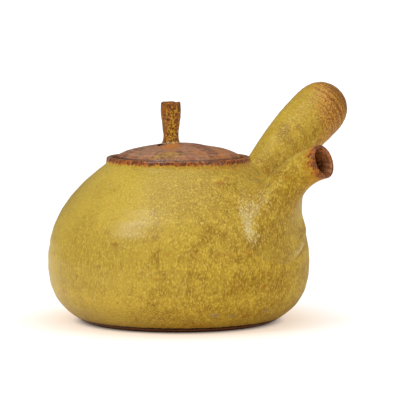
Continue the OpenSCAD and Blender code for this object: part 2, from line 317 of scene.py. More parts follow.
class ShaderGraph:
    """A node tree, with the few helpers that the finishes share.

    Where a value is asked for, a painted weight stands for the output that reads it.
    """

    def __init__(self, owner: bpy.types.Material | bpy.types.World) -> None:
        """Starts an empty tree.

        Args:
            owner: Material or world whose tree it is.
        """
        owner.use_nodes = True
        self.owner = owner
        self.tree = owner.node_tree
        self.tree.nodes.clear()
        self.weights: dict[Mask, Socket] = {}

    @cached_property
    def place(self) -> Socket:
        """Output with the place on the object, in metres."""
        return self.add("ShaderNodeTexCoord").outputs["Object"]

    def add(self, kind: str, sockets: dict | None = None, **settings: object) -> bpy.types.Node:
        """Adds a node, sets it and links it.

        Args:
            kind: Type of the node.
            sockets: Input name or number to a number, a colour, a painted weight or an output.
            settings: Properties of the node.

        Returns:
            The node.
        """
        node = self.tree.nodes.new(kind)
        for key, value in settings.items():
            setattr(node, key, value)
        for key, value in (sockets or {}).items():
            if isinstance(value, Mask):
                if value not in self.weights:
                    reader = self.add("ShaderNodeAttribute", attribute_name=value.value)
                    self.weights[value] = reader.outputs["Fac"]
                value = self.weights[value]
            if isinstance(value, Socket):
                self.tree.links.new(value, node.inputs[key])
            else:
                node.inputs[key].default_value = value
        return node

    def band(self, value: object, low: float, high: float, amount: float = 1.0,
             least: float = 0.0) -> Socket:
        """Cuts a soft-edged mask out of a value.

        Args:
            value: Value to cut.
            low: Where the mask starts.
            high: Where it is full.
            amount: The mask where it is full.
            least: The mask where it is empty.

        Returns:
            Output with the mask.
        """
        return self.add(
            "ShaderNodeMapRange",
            {"Value": value, "From Min": low, "From Max": high, "To Min": least, "To Max": amount},
            interpolation_type="SMOOTHSTEP",
        ).outputs[0]

    def cloud(self, size: float, stretch: float = 1.0, detail: float = 2.0, seed: float = 0.0) -> Socket:
        """Fills space with noise of a real size, drawn out downwards as glaze runs.

        Args:
            size: Width of its patches in millimetres.
            stretch: How many times longer than wide they are.
            detail: Number of finer layers.
            seed: Shift, in metres, that makes this noise differ from another.

        Returns:
            Output with the noise, which is about 0.5 on average.
        """
        moved = self.add(
            "ShaderNodeMapping",
            {"Vector": self.place, "Location": (seed, seed, seed), "Scale": (1, 1, 1 / stretch)},
        ).outputs[0]
        return self.add(
            "ShaderNodeTexNoise", {"Vector": moved, "Scale": 1 / (size * MM), "Detail": detail}
        ).outputs[0]

    def rings(self, size: float, detail: float) -> Socket:
        """Draws lines round a turned piece, from its painted distance along the wheel's axis.

        Args:
            size: Distance between the lines in millimetres.
            detail: Number of finer layers.

        Returns:
            Output with the lines, which are about 0.5 on average.
        """
        return self.add(
            "ShaderNodeTexNoise", {"W": Mask.TURN, "Scale": 1 / size, "Detail": detail},
            noise_dimensions="1D",
        ).outputs[0]

    def total(self, base: object, *shares: tuple[object, float]) -> Socket:
        """Adds shares of values to a base.

        Args:
            base: Value to start from.
            shares: Each value and how much of it to add.

        Returns:
            Output with the sum.
        """
        for value, share in shares:
            sockets = {0: value, 1: share, 2: base}
            base = self.add("ShaderNodeMath", sockets, operation="MULTIPLY_ADD").outputs[0]
        return base

    def coats(self, under: object, *layers: tuple[object, object, float, float, float]) -> Socket:
        """Lays coats of colour over one another.

        Args:
            under: sRGB colour or output at the bottom.
            layers: Each coat's sRGB colour or output, the value that it follows, where in that value
                it starts, where it is full, and how much of it shows there.

        Returns:
            Output with the coats.
        """
        for over, value, low, high, amount in layers:
            below, above = (linear(c) if isinstance(c, str) else c for c in (under, over))
            sockets = {0: self.band(value, low, high, amount), 6: below, 7: above}
            under = self.add("ShaderNodeMix", sockets, data_type="RGBA").outputs[2]
        return under

    def fire(self, colour: object, roughness: object, relief: object, depth: float,
             shine: object) -> bpy.types.Material:
        """Ends the material in one ceramic surface.

        Args:
            colour: Output with the colour.
            roughness: Number or output.
            relief: Output with the height of its fine relief.
            depth: Height of that relief in millimetres.
            shine: Number or output, strength of its mirror reflection; 0.5 is that of glass.

        Returns:
            The material.
        """
        bump = self.add("ShaderNodeBump", {"Height": relief, "Distance": depth * MM, "Strength": 1.0})
        surface = self.add(
            "ShaderNodeBsdfPrincipled",
            {"Base Color": colour, "Roughness": roughness, "Normal": bump.outputs[0],
             "Specular IOR Level": shine},
        )
        self.add("ShaderNodeOutputMaterial", {"Surface": surface.outputs[0]})
        return self.owner


@dataclass(frozen=True)
class OchreGlaze:
    """Ash glaze over iron-bearing stoneware.

    Gives the eye a satin mustard ground of fine grains, slow clouds, thin vertical runs, and a break
    to yellow, orange and speckled brown where the glaze has drawn thin over an edge.
    """

    name: str = "ochre ash glaze, reduction fired"
    ground: str = "#a78c2e"
    rich: str = "#95710f"
    cloud: str = "#ba9f38"
    shade: str = "#866210"
    run: str = "#c6aa3c"
    dark_grain: str = "#8a6510"
    light_grain: str = "#d6b848"
    veil: str = "#c6a838"
    amber: str = "#a0661a"
    # Pooled glaze; also the colour of the painted highlights by the spout's root
    pooled: str = "#d8cea4"
    toast: str = "#8a5420"
    ember: str = "#d09a3a"
    scorch: str = "#54290d"
    smoke: str = "#8f7a68"
    yellow: str = "#c2952a"
    orange: str = "#a8621e"
    brown: str = "#6e4026"
    rust: str = "#ae622c"
    black: str = "#3a1c0c"
    # Lighter inside of the lip: thick glaze with a painted highlight
    glass: str = "#c98a62"
    # Near-black painted shade under and above the foot's clay and deep in the spout
    painted_shade: str = "#211008"
    clay: str = "#945228"

    def build(self) -> bpy.types.Material:
        """Makes the material.

        Returns:
            The material.
        """
        g = ShaderGraph(bpy.data.materials.new(self.name))
        coarse, thick, toast = Mask.COARSE, Mask.VEIL, Mask.TOAST_AND_SHADE
        # The grain of a real ash glaze is finer than these; it is drawn as coarse as it needs to show
        soft = g.cloud(2.6, 1.7, 2, seed=2.77)
        bright = g.cloud(2.2, 1.9, 2, seed=3.19)
        runs = g.cloud(0.55, 8, 2, seed=0.57)
        light = g.cloud(0.65, 1.8, 1, seed=1.19)
        dark = g.cloud(0.9, 1.4, 2, seed=0.83)
        fine = g.cloud(0.65, 1.3, 2, seed=1.61)
        drip = g.cloud(0.8, 1.5, 3, seed=2.03)
        ring = g.band(g.rings(1.7, 1), 0.40, 0.62)
        broken = g.band(drip, 0.3, 0.7)
        # Slow clouds, brown-olive patches, and pale bands where the glaze ran over the ridges
        ground = g.add(
            "ShaderNodeMix", {0: coarse, 6: linear(self.ground), 7: linear(self.rich)}, data_type="RGBA"
        ).outputs[2]
        patch = g.total(g.cloud(10, 1.2, 4, seed=0.31), (coarse, 0.22))
        veil = g.total(g.cloud(9, 0.6, 4, seed=0.47), (coarse, 0.06), (thick, 0.35))
        colour = g.coats(
            ground,
            (self.cloud, g.cloud(30, 1.3, 3), 0.40, 0.62, 0.8),
            (self.shade, patch, 0.60, 0.78, 0.75),
            (self.veil, veil, 0.58, 0.86, 0.75),
        )
        # Soft mottling, thin vertical runs and the fine grain of the ash, coarser on the spout's side
        spot = g.total(g.cloud(7, 0.7, 2, seed=1.43), (coarse, 0.06))
        colour = g.coats(
            colour,
            (self.shade, g.total(soft, (coarse, 0.16)), 0.59, 0.79, 0.55),
            (self.veil, g.total(bright, (coarse, 0.16)), 0.61, 0.79, 0.65),
            (self.run, g.total(runs, (coarse, -0.1)), 0.44, 0.64, 0.52),
            (self.light_grain, g.total(light, (coarse, 0.08), (thick, 0.07)), 0.53, 0.75, 0.68),
            (self.dark_grain, g.total(dark, (coarse, 0.15)), 0.50, 0.82, 0.55),
            (self.amber, spot, 0.66, 0.80, 0.6),
        )
        # Brown breath of the fire, with grains of glaze and the lines of the wheel left in it;
        # on the body the same brown also draws the painted shadow line under the collar
        lines = g.total(toast, (fine, 0.6), (ring, 0.4))
        toasted = g.coats(
            self.toast,
            (self.ember, g.total(fine, (toast, -0.11), (ring, -0.08)), 0.26, 0.48, 0.9),
            (self.scorch, lines, 1.5, 2.0, 0.38),
        )
        # Pale pooled glaze, partly painted highlight, and smoke; the break over edges; the lip's
        # lighter inside with painted highlight; bare clay and near-black painted shade
        pool = g.total(Mask.POOL_AND_GLINT, (g.band(soft, 0.35, 0.65), 0.25), (g.band(light, 0.42, 0.62), 0.43))
        smoke = g.total(Mask.SMOKE, (g.band(bright, 0.35, 0.65), 0.4))
        iron = g.total(Mask.IRON, (broken, 0.45))
        mottle = g.total(g.cloud(1.6, 1.2, 3, seed=2.41), (fine, 0.4))
        thin = g.coats(
            self.brown,
            (self.rust, mottle, 0.66, 0.84, 0.9),
            (self.black, dark, 0.52, 0.68, 0.75),
        )
        glass = g.total(Mask.GLAZE_AND_GLINT, (g.band(drip, 0.38, 0.62), 0.8))
        bare = g.total(Mask.BARE_AND_SHADE, (broken, 0.25))
        colour = g.coats(
            colour,
            (toasted, lines, 0.68, 1.35, 0.95),
            (self.pooled, pool, 0.5, 1.35, 0.65),
            (self.smoke, smoke, 0.5, 1.2, 0.7),
            (self.yellow, iron, 0.47, 0.60, 0.6),
            (self.orange, iron, 0.60, 0.78, 0.8),
            (thin, iron, 0.76, 0.98, 1.0),
            (self.glass, glass, 0.85, 1.7, 0.95),
            (self.painted_shade, bare, 0.40, 0.55, 1.0),
            (self.clay, bare, 0.74, 0.90, 1.0),
        )
        rough = g.total(0.31, (coarse, 0.12), (g.band(iron, 0.82, 1.07), -0.2))
        relief = g.total(dark, (runs, 0.6), (light, 0.8))
        shine = g.total(g.band(iron, 0.82, 1.07, 0.6, 0.41), (coarse, -0.28))
        return g.fire(colour, rough, relief, 0.02, shine)


@dataclass(frozen=True)
class IronGlaze:
    """Thin iron glaze, rubbed over the lid.

    Gives the eye a red-brown satin skin with fine turned streaks, rust patches and greenish ash
    where the glaze ran thicker.
    """

    name: str = "iron-brown glaze, thin, reduction fired"
    ground: str = "#874f2c"
    sheen: str = "#b38568"
    rust: str = "#b9702c"
    ash: str = "#a08f3e"
    yellow: str = "#b08634"
    dark: str = "#42220f"
    pale: str = "#bb8c58"
    pooled: str = "#c4c19a"
    grain: float = 0.7
    patch: float = 1.3
    stain: float = 0.55
    shine: float = 0.7
    speck: float = 0.6

    def build(self) -> bpy.types.Material:
        """Makes the material.

        Returns:
            The material.
        """
        g = ShaderGraph(bpy.data.materials.new(self.name))
        slow = g.cloud(9, 1, 4, seed=0.17)
        patch = g.cloud(self.patch, 1, 3, seed=0.73)
        grain = g.cloud(self.grain, 1, 2, seed=0.41)
        broad = g.cloud(2.6, 1, 3, seed=1.37)
        fleck = g.cloud(0.8, 1, 2, seed=1.07)
        tone = g.total(slow, (patch, 0.35), (g.rings(1.6, 3), 0.4))
        streak = g.total(slow, (patch, 0.4), (g.rings(0.8, 2), 0.7))
        rust = g.total(Mask.RUST, (g.band(slow, 0.3, 0.7), 0.6))
        ash = g.total(Mask.ASH, (g.band(patch, 0.3, 0.7), 0.8))
        pool = g.total(Mask.POOL_AND_GLINT, (g.band(grain, 0.3, 0.7), 0.6))
        colour = g.coats(
            self.ground,
            (self.sheen, tone, 0.72, 1.04, 1.0),
            (self.dark, streak, 1.05, 1.3, 0.4),
            (self.dark, broad, 0.50, 0.68, self.stain),
            (self.rust, broad, 0.48, 0.34, self.stain),
            (self.rust, rust, 0.45, 1.1, 0.85),
            (self.yellow, ash, 0.74, 1.0, 0.7),
            (self.ash, ash, 0.96, 1.3, 0.8),
            (self.pale, grain, 0.54, 0.70, 0.45),
            (self.dark, fleck, 0.52, 0.70, self.speck),
            # Painted shade on the lid's edge and in the mouth of the air hole
            (self.dark, Mask.BARE_AND_SHADE, 0.1, 0.9, 0.85),
            (self.pooled, pool, 0.8, 1.4, 0.7),
        )
        rough = g.band(slow, 0.35, 0.65, 0.3, 0.42)
        return g.fire(colour, rough, g.total(fleck, (grain, 1.0)), 0.03, self.shine)


@dataclass(frozen=True)
class BareClay:
    """Unglazed stoneware body.

    Gives the eye a dry, toasted clay with a fine grog grain and iron specks.
    """

    name: str = "bare stoneware, toasted in firing"
    ground: str = "#8a5a38"
    light: str = "#a3754c"
    speck: str = "#4f301b"

    def build(self) -> bpy.types.Material:
        """Makes the material.

        Returns:
            The material.
        """
        g = ShaderGraph(bpy.data.materials.new(self.name))
        slow = g.cloud(9, 1, 3)
        grog = g.cloud(0.9, 1, 2, seed=0.37)
        colour = g.coats(
            self.ground, (self.light, slow, 0.4, 0.65, 1.0), (self.speck, grog, 0.62, 0.72, 0.6)
        )
        return g.fire(colour, g.band(slow, 0.3, 0.7, 0.72, 0.86), grog, 0.06, shine=0.3)


@dataclass
class Piece:
    """A visual piece that stands for CAD nodes."""

    name: str
    nodes: tuple[str, ...]
    body: Body
    slot: Slot
    material: bpy.types.Material
    sharp_angle: float = 50.0

    def pierce(self, obj: bpy.types.Object, place: Vector, way: Vector, radius: float,
               length: float) -> None:
        """Cuts a round hole through the piece.

        Args:
            obj: The object to cut.
            place: Middle of the hole in millimetres.
            way: Direction of the hole.
            radius: Its radius in millimetres.
            length: Length of the cut in millimetres.
        """
        bm = bmesh.new()
        turned = way.to_track_quat("Z", "Y").to_matrix().to_4x4()
        bmesh.ops.create_cone(
            bm, cap_ends=True, segments=48, radius1=radius, radius2=radius, depth=length,
            matrix=Matrix.Translation(place) @ turned,
        )
        drill = make_object("drill", bm)
        cut = obj.modifiers.new("pierce", "BOOLEAN")
        cut.operation = "DIFFERENCE"
        cut.solver = "EXACT"
        cut.object = drill
        shaped = obj.evaluated_get(bpy.context.evaluated_depsgraph_get())
        mesh = bpy.data.meshes.new_from_object(shaped)
        obj.modifiers.clear()
        obj.data = mesh
        bpy.data.objects.remove(drill)

    def dress(self, obj: bpy.types.Object, paints: dict[Mask, Paint]) -> None:
        """Shades, paints and glazes the piece and puts it in the frame.

        Args:
            obj: The object.
            paints: Weight to how much of it there is at a place, in millimetres.
        """
        mesh = obj.data
        mesh.shade_smooth()
        mesh.set_sharp_from_angle(angle=math.radians(self.sharp_angle))
        for mask, paint in paints.items():
            layer = mesh.attributes.new(mask.value, "FLOAT", "POINT")
            layer.data.foreach_set("value", [paint(v.co / MM) for v in mesh.vertices])
        mesh.materials.clear()
        mesh.materials.append(self.material)
        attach(obj, self.body.value)
        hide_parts(*self.nodes)


@dataclass(frozen=True)
class Wall:
    """Outer line of the thrown body: two curves that meet at the belly."""

    foot: tuple[tuple[float, float], ...] = ((42.0, 0.0), (54.0, 6.0), (58.8, 13.0), (58.8, 27.0))
    shoulder: tuple[tuple[float, float], ...] = ((58.8, 27.0), (58.8, 44.0), (50.0, 58.0), (33.0, 70.3))

    def point(self, u: float, off: float = 0.0) -> Vector:
        """Finds a point of the line.

        Args:
            u: 0 at the foot, 1 at the belly and 2 at the collar.
            off: How far outside the line the point is.

        Returns:
            The point as (radius, height, 0).
        """
        ends = self.foot if u < 1 else self.shoulder
        p = [Vector((r, z, 0)) for r, z in ends]
        t = u if u < 1 else u - 1
        s = 1 - t
        way = (s * s * (p[1] - p[0]) + 2 * s * t * (p[2] - p[1]) + t * t * (p[3] - p[2])).normalized()
        on = s**3 * p[0] + 3 * s * s * t * p[1] + 3 * s * t * t * p[2] + t**3 * p[3]
        return on + off * Vector((way.y, -way.x, 0))

    @lru_cache(maxsize=None)
    def radius(self, z: float, off: float = 0.0) -> float:
        """Measures the radius at a height, on the line or at a distance outside it."""
        return self.point(halve(0.0, 2.0, lambda u: self.point(u, off).y < z, 30), off).x

    def distance(self, p: Vector) -> float:
        """Measures how far outside the wall a place is, on the level."""
        return math.hypot(p.x, p.y) - self.radius(round(clamp(p.z, 1, 70), 2))

    def outwards(self, z: float, step: float = 0.05) -> Vector:
        """Finds the way that the wall looks at a height, on the spout's side."""
        return rising(math.atan2(self.radius(z - step) - self.radius(z + step), 2 * step))

    def spot(self, z: float, azimuth: float, off: float = 0.0) -> Vector:
        """Finds a place on or outside the wall by its height and its angle from the spout."""
        r = self.radius(z, off)
        return Vector((r * math.cos(azimuth), r * math.sin(azimuth), z))


WALL = Wall()


@dataclass(frozen=True)
class SpoutRoot:
    """The oval on the wall where the spout is luted on."""

    width: float = 39.0
    low: float = 31.5
    high: float = 63.0

    @property
    def middle(self) -> float:
        """Height of the oval's middle."""
        return (self.low + self.high) / 2

    @cached_property
    def wall_radius(self) -> float:
        """Radius of the wall at the oval's middle."""
        return WALL.radius(self.middle)

    def point(self, angle: float, inset: float, off: float) -> Vector:
        """Finds a point of the oval.

        Args:
            angle: 0 is the +Y side and a quarter turn is the top.
            inset: How far inside the oval the point is.
            off: How far outside the wall it is.

        Returns:
            The point.
        """
        z = self.middle + ((self.high - self.low) / 2 - inset) * math.sin(angle)
        across = (self.width / 2 - inset) * math.cos(angle)
        return WALL.spot(z, across / WALL.radius(self.middle, off), off)

    def distance(self, p: Vector) -> float:
        """Measures how far outside the oval a place on the wall is.

        Args:
            p: The place.

        Returns:
            The distance, which is below 0 inside the oval.
        """
        if p.x <= 0:
            return 99.0
        half_w = self.width / 2
        half_h = (self.high - self.low) / 2
        across = math.atan2(p.y, p.x) * self.wall_radius / half_w
        return (math.hypot(across, (p.z - self.middle) / half_h) - 1) * half_h

    def pool(self, p: Vector) -> float:
        """Paints the glaze that pooled in the crease on the oval's near side, drawn pale partly as a
        painted highlight.
        """
        crease = tent(self.distance(p), 0.5, 4) * tent(p.z, 48, 9, 1.4)
        return 0.78 * crease if p.y <= 0 else 0.0


def coarse(p: Vector) -> float:
    """Paints how coarse the glaze's grain is: it is fine on the side away from the spout."""
    return clamp(0.43 + p.dot(RIGHT) / 60 + (35 - p.z) / 120)


@dataclass
class PotBody(Piece):
    """The thrown body with its collar, its ledge for the lid and its turned foot."""

    thickness: float = 4.0
    steps: int = 288
    wall_steps: int = 130
    inner_steps: int = 70
    foot_radius: float = 42.0
    hollow_radius: float = 36.5
    hollow_depth: float = 1.2
    collar_radius: float = 32.25
    collar_inside: float = 30.2
    collar_top: float = 73.9
    ledge_z: float = 71.0
    throat_radius: float = 24.5
    throat_z: float = 67.5
    floor_radius: float = 43.5
    floor_z: float = 4.5
    port_place: float = 49.25
    port_radius: float = 8.5
    groove: float = 0.22
    groove_z: float = 34.7
    seam_z: float = 70.4
    # Place to the right, height and width of each grey smear
    smears: tuple[tuple[float, float, float], ...] = ((16.0, 8.9, 3.6), (23.0, 8.2, 2.2), (37.6, 9.2, 2.2))
    throwing: Throwing = field(default_factory=Throwing)
    root: SpoutRoot = field(default_factory=SpoutRoot)

    def section(self) -> Line:
        """Draws the body's section.

        Returns:
            The section, from the middle of the foot, up outside and down inside to the floor.
        """
        foot = rounded([
            (0, self.hollow_depth, 0), (self.hollow_radius, self.hollow_depth, 0.5),
            (self.hollow_radius, 0, 0.4), (self.foot_radius - 0.8, 0, 0),
        ])
        outer = [WALL.point(mix(0.03, 1.985, i / self.wall_steps)) for i in range(self.wall_steps + 1)]
        tread = Vector((self.foot_radius, 0, 0))
        edge = curve((foot[-1], (self.foot_radius - 0.2, 0, 0), outer[0].lerp(tread, 0.5), outer[0]), 5)
        neck = outer[-1]
        # This corner only gives the throat's lower edge a direction
        under_ledge = (30, 66.6, 0)
        collar = rounded([
            (neck.x, neck.y, 0), (self.collar_radius + 0.5, self.ledge_z - 0.5, 0.25),
            (self.collar_radius, self.collar_top, 0.95), (self.collar_inside, self.collar_top, 0.95),
            (self.collar_inside, self.ledge_z, 0.5), (self.throat_radius, self.ledge_z, 0.6),
            (self.throat_radius, self.throat_z, 0.5), under_ledge,
        ], 8)
        inner = [
            WALL.point(mix(1.93, 0.42, i / self.inner_steps), -self.thickness)
            for i in range(self.inner_steps + 1)
        ]
        floor = rounded([
            (inner[-1].x, inner[-1].y, 0), (self.floor_radius, self.floor_z, 2.5), (0, self.floor_z, 0),
        ])
        return foot[:-1] + edge + outer[1:-1] + collar[:-1] + inner + floor[1:]

    def build(self) -> None:
        """Throws, pierces and glazes the body."""
        bm = lathe(self.section(), self.steps)
        press(bm, self.marks)
        obj = make_object(self.name, bm)
        port = WALL.spot(self.port_place, 0)
        self.pierce(obj, port, WALL.outwards(self.port_place), self.port_radius, 4 * self.thickness)
        self.dress(obj, {Mask.IRON: self.iron, Mask.POOL_AND_GLINT: self.pool, Mask.BARE_AND_SHADE: self.bare,
                         Mask.TOAST_AND_SHADE: self.toast, Mask.VEIL: self.veil, Mask.SMOKE: self.smoke,
                         Mask.COARSE: coarse, Mask.TURN: lambda p: p.z})

    def marks(self, p: Vector) -> float:
        """Gives the finger marks and the shallow groove that was turned at the belly.

        Args:
            p: Place on the body.

        Returns:
            Height of the surface there above its true shape.
        """
        if p.z < 1.5 or p.z > 70:
            return 0.0
        deep = self.groove * (0.6 + 0.6 * noise.noise(p / 24 + Vector((2, 9, 4))))
        return self.throwing.depth(p) - deep * bell(p.z - self.groove_z, 1.7)

    def iron(self, p: Vector) -> float:
        """Paints the break to brown on the collar, on the ledge and over the foot.

        Args:
            p: Place on the body.

        Returns:
            The weight.
        """
        if math.hypot(p.x, p.y) < self.collar_inside + 0.1 and p.z > 66:
            return 0.64
        foot = 0.36 * clamp((6.5 - p.z) / 4)
        lip = 0.28 * clamp((p.z - self.collar_top + 0.5) / 0.4)
        return max(foot, clamp(0.46 + (p.z - self.ledge_z - 0.6) / 2.8) - lip)

    def pool(self, p: Vector) -> float:
        """Paints the glaze that pooled in the crease round the spout, partly painted highlight, and under
        the collar.
        """
        collar = tent(p.z, self.seam_z - 0.6, 1.4) * bell(p.dot(RIGHT) + 10.8, 5)
        return max(self.root.pool(p), 0.5 * collar if p.dot(NEAR) > 0 else 0.0)

    def bare(self, p: Vector) -> float:
        """Paints the foot's bare clay, with near-black painted shade under it and in a line above it."""
        rim = 0.5 * clamp((2.9 - p.z) / 0.5) + 0.5 * tent(p.z, 1.3, 0.4, 1.5)
        return float(p.z < 2) if math.hypot(p.x, p.y) < self.foot_radius - 0.5 else rim

    def toast(self, p: Vector) -> float:
        """Paints the brown line under the collar, which is painted shadow, and brown along the belly's
        groove and on the shoulder by the spout.

        Args:
            p: Place on the body.

        Returns:
            The weight.
        """
        right = p.dot(RIGHT)
        # Painted shadow line in the crease under the collar
        collar_shadow = 0.8 * tent(p.z, self.seam_z, 0.5)
        broken = clamp(0.5 + 2 * noise.noise(p / 11 + Vector((1, 6, 2))))
        groove = 0.4 * broken * bell(p.z - self.groove_z, 2.6)
        shoulder = 0.22 * tent(p.z, 65, 5, 1.3) * clamp((right - 22) / 8)
        return clamp(0.4 + right / 30) * max(collar_shadow, groove, shoulder)

    def smoke(self, p: Vector) -> float:
        """Paints the grey smears over the foot, below the spout.

        Args:
            p: Place on the body.

        Returns:
            The weight.
        """
        if p.dot(NEAR) < 0:
            return 0.0
        smears = [(p.dot(RIGHT) - right, p.z - up, width) for right, up, width in self.smears]
        return max(0.9 * bell(x, width) * bell(z - 0.15 * x, 1.3) for x, z, width in smears)

    def veil(self, p: Vector) -> float:
        """Paints the pale bands where the glaze ran thick under the belly and over the foot.

        Args:
            p: Place on the body.

        Returns:
            The weight.
        """
        right = p.dot(RIGHT)
        belly = clamp(0.3 + right / 40) * bell(p.z - 30, 2.4)
        shoulder = 0.5 * tent(p.z, 62, 8, 1.4) * clamp((right - 5) / 14)
        return max(belly, shoulder, 0.6 * bell(p.z - 15, 4))


@dataclass
class Spout(Piece):
    """The short thrown spout, luted onto the wall with a soft fillet."""

    sides: int = 96
    flare: float = 4.5
    tuck: float = 0.3
    mouth: Vector = at(77.5, 0, 75.0)
    mouth_radius: float = 7.5
    mouth_tilt: float = math.radians(18)
    slope: float = math.radians(14)
    lip: float = 0.8
    mouth_run: float = 20.5
    root_run: float = 10.5
    swelling: Vector = at(57.5, 16, 42.8)
    hollow: Vector = at(56.8, 15, 51)
    glint: Vector = at(53.5, -9.5, 58.8)
    root: SpoutRoot = field(default_factory=SpoutRoot)

    @cached_property
    def face(self) -> Vector:
        """Direction that the mouth looks in."""
        return rising(self.mouth_tilt)

    def around(self, angle: float) -> Vector:
        """Finds the direction from the mouth's middle to a place on its edge.

        Args:
            angle: The place; 0 is the +Y side and a quarter turn is the top.

        Returns:
            The direction.
        """
        return Vector((
            -math.sin(angle) * math.sin(self.mouth_tilt), math.cos(angle),
            math.sin(angle) * math.cos(self.mouth_tilt),
        ))

    def from_mouth(self, p: Vector) -> tuple[float, bool]:
        """Measures a place from the mouth.

        Args:
            p: Place on the spout.

        Returns:
            How far it is in front of the mouth, and whether it is on the inside near it.
        """
        out = p - self.mouth
        ahead = out.dot(self.face)
        across = (out - ahead * self.face).length
        return ahead, across < self.mouth_radius - 1.2 and ahead > -12

    def crease(self, angle: float) -> float:
        """Tells how far the spout's foot stands proud of the wall: 1 on its lower +Y side."""
        return clamp(0.5 - 1.2 * math.sin(angle)) * clamp(0.6 + 0.8 * math.cos(angle))

    def spine(self, angle: float, start: Vector, radius: float) -> Line:
        """Draws one of the curves that run along the spout.

        Args:
            angle: Place of the curve round the spout.
            start: Where it leaves the wall.
            radius: Its distance from the middle of the mouth.

        Returns:
            The four points of a Bezier curve.
        """
        end = self.mouth + radius * self.around(angle) - self.lip * self.face
        inwards = (self.root.point(angle, 0.5, 0.15) - self.root.point(angle, 0, 0.15)).normalized()
        # The upper curves leave the wall steeper and run on further, so that the spout's top arches
        up = math.sin(angle)
        way = inwards.lerp(WALL.outwards(self.root.middle), 0.52 + 0.37 * up).normalized()
        run = self.root_run + 4 * up
        back = self.mouth_run + 4.5 * self.crease(angle)
        arch = clamp(up) * UP
        return [start, start + run * way + 3.5 * arch, end - back * rising(self.slope) - 1.8 * arch, end]

    def strip(self, angle: float) -> Line:
        """Draws the spout's section at one place round it.

        Args:
            angle: The place.

        Returns:
            Points from the fillet on the wall, over the lip and down the bore.
        """
        # Where there is a crease, the foot stands further out and the fillet is short
        crease = self.crease(angle)
        foot = self.root.point(angle, 0, mix(1.05, 2.2, crease))
        outer = curve(self.spine(angle, foot, self.mouth_radius), 44)
        # Point of the outer curve at which the fillet ends
        meet = 6
        away = self.root.point(angle, mix(-self.flare, -0.9, crease), -self.tuck)
        corner = self.root.point(angle, 0, mix(0.3, 2.6, crease))
        fillet = bend(away, corner, outer[meet], 12)
        around = self.around(angle)
        middle = outer[-1] - self.lip * around
        lip = [
            middle + self.lip * (math.cos(a) * around + math.sin(a) * self.face)
            for a in (math.pi * i / 10 for i in range(1, 10))
        ]
        thick = mix(4, 8, ((1 - math.sin(angle)) / 2) ** 2)
        inside = self.root.point(angle, thick, -0.1)
        bore = curve(self.spine(angle, inside, self.mouth_radius - 2 * self.lip), 24)
        return fillet[:-1] + outer[meet:] + lip + bore[::-1]

    def build(self) -> None:
        """Lofts and glazes the spout."""
        bm = loft([self.strip(TURN * i / self.sides) for i in range(self.sides)])
        marks = Throwing(ridge=0.0, wobble=0.15, size=14, grain=0.03)
        press(bm, lambda p: marks.depth(p) if self.root.distance(p) < -1 or p.x > 62 else 0.0)
        press(bm, self.swell)
        obj = make_object(self.name, bm)
        self.dress(obj, {Mask.IRON: self.iron, Mask.POOL_AND_GLINT: self.pool, Mask.BARE_AND_SHADE: self.bore,
                         Mask.TOAST_AND_SHADE: self.toast, Mask.COARSE: self.grain, Mask.GLAZE_AND_GLINT: self.glassy,
                         Mask.TURN: lambda p: 0.3 * self.from_mouth(p)[0]})

    def grain(self, p: Vector) -> float:
        """Paints the grain of the glaze, which is coarser towards the mouth."""
        return coarse(p) * (0.5 + 0.35 * clamp((p.z - 52) / 14))

    def swell(self, p: Vector) -> float:
        """Gives the thumb's swelling on the far side of the root and the hollow above it."""
        return 0.55 * bell((p - self.swelling).length, 4) - 0.4 * bell((p - self.hollow).length, 4)

    def glassy(self, p: Vector) -> float:
        """Paints the thick glaze inside the lip, on the far side, lightened as a painted highlight."""
        ahead, inside = self.from_mouth(p)
        return clamp(p.y / 4) * clamp((ahead + 7) / 4) * clamp(-ahead / 0.5) if inside else 0.0

    def iron(self, p: Vector) -> float:
        """Paints the break to brown round the mouth and inside it."""
        ahead, inside = self.from_mouth(p)
        return 0.8 if inside else clamp(0.66 + (ahead + 2.0) / 7 + 0.3 * noise.noise(p / 2.2))

    def bore(self, p: Vector) -> float:
        """Darkens the inside of the spout with painted shade, more so further in."""
        ahead, inside = self.from_mouth(p)
        return 0.5 * clamp((-4 - ahead) / 6) if inside else 0.0

    def toast(self, p: Vector) -> float:
        """Paints the scorched clay behind the mouth."""
        return 0.7 * clamp(0.5 + (p.x - 71) / 14)

    def pool(self, p: Vector) -> float:
        """Paints pooled glaze in the crease at the root, and painted highlights on the root.

        Args:
            p: Place on the spout.

        Returns:
            The weight.
        """
        # Painted highlight along the ridge where the root stands proud of the wall on the +Y side
        line = tent(WALL.distance(p), 1.6, 0.9, 1.4) * clamp((p.y - 2) / 6)
        # Painted highlight on the upper near flank of the root
        glint = 0.5 * bell((p - self.glint).length, 4.9)
        return max(0.65 * line if p.z < 46 else 0.0, self.root.pool(p), glint)


